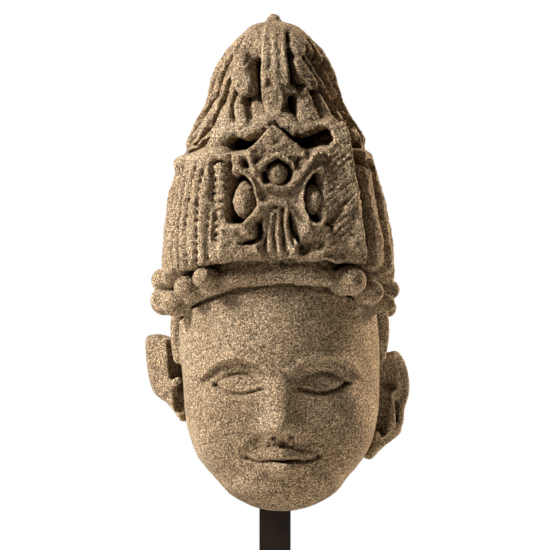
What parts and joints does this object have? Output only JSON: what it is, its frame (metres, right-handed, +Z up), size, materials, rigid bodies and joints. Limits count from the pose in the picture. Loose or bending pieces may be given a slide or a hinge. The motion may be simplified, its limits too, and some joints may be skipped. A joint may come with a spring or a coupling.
{
  "type": "stone head sculpture on display post",
  "caption": "Carved sandstone head of a crowned deity with a tall fluted crown and broken neck, standing on a square steel post and plate foot.",
  "frame": {"origin": "middle of the foot's underside, on the surface it stands on", "axes": "+Z up, -Y the way the face looks, +X to the right as seen from the front"},
  "size_m": [0.2178, 0.2005, 0.5249],
  "materials": {
    "sandstone": "rough weathered brown sandstone, grainy, dark dirt in the hollows",
    "dark_steel": "satin dark brown painted steel"
  },
  "bodies": {
    "root": {"stone_head": "sandstone", "display_post": "dark_steel", "display_foot": "dark_steel"}
  },
  "joints": []
}
